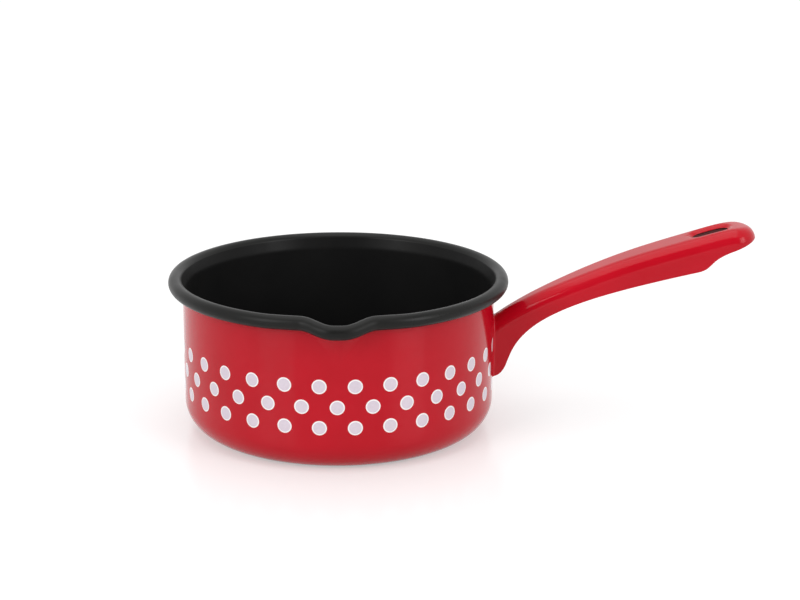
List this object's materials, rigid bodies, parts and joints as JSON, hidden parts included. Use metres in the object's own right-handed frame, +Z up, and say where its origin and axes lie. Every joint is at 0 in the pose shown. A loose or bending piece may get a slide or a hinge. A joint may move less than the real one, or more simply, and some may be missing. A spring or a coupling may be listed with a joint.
{
  "type": "milk pan",
  "caption": "Small round enamelled pan with straight sides, a rolled rim with a pressed pouring lip, dots in staggered rows and a fixed channel handle with a hanging hole.",
  "frame": {"origin": "the middle of the face that the pan rests on", "axes": "+Z up, +X along the handle away from the pan, -Y towards the pouring lip"},
  "size_m": [0.3073, 0.1816, 0.1062],
  "materials": {
    "bowl_steel": "thin sheet steel, covered all over by enamel",
    "inner_enamel": "smooth black vitreous enamel, glossy",
    "outer_enamel": "smooth red vitreous enamel, glossy",
    "rim_enamel": "black vitreous enamel, glossy",
    "base_enamel": "black vitreous enamel, a little worn where it rests",
    "dot_enamel": "white vitreous enamel dots with a pale lilac middle, glossy",
    "handle_steel": "pressed sheet steel, covered by enamel, bare dark edge",
    "handle_enamel": "smooth red vitreous enamel, glossy",
    "handle_lining": "thin dark red ground enamel in the channel",
    "weld": "weld seam at the handle's root, enamelled red"
  },
  "bodies": {
    "root": {"bowl": "bowl_steel", "inner_enamel": "inner_enamel", "outer_enamel": "outer_enamel", "rim_enamel": "rim_enamel", "base_enamel": "base_enamel", "upper_dots": "dot_enamel", "middle_dots": "dot_enamel", "lower_dots": "dot_enamel", "handle": "handle_steel", "handle_enamel": "handle_enamel", "handle_lining": "handle_lining", "handle_weld": "weld"}
  },
  "joints": []
}
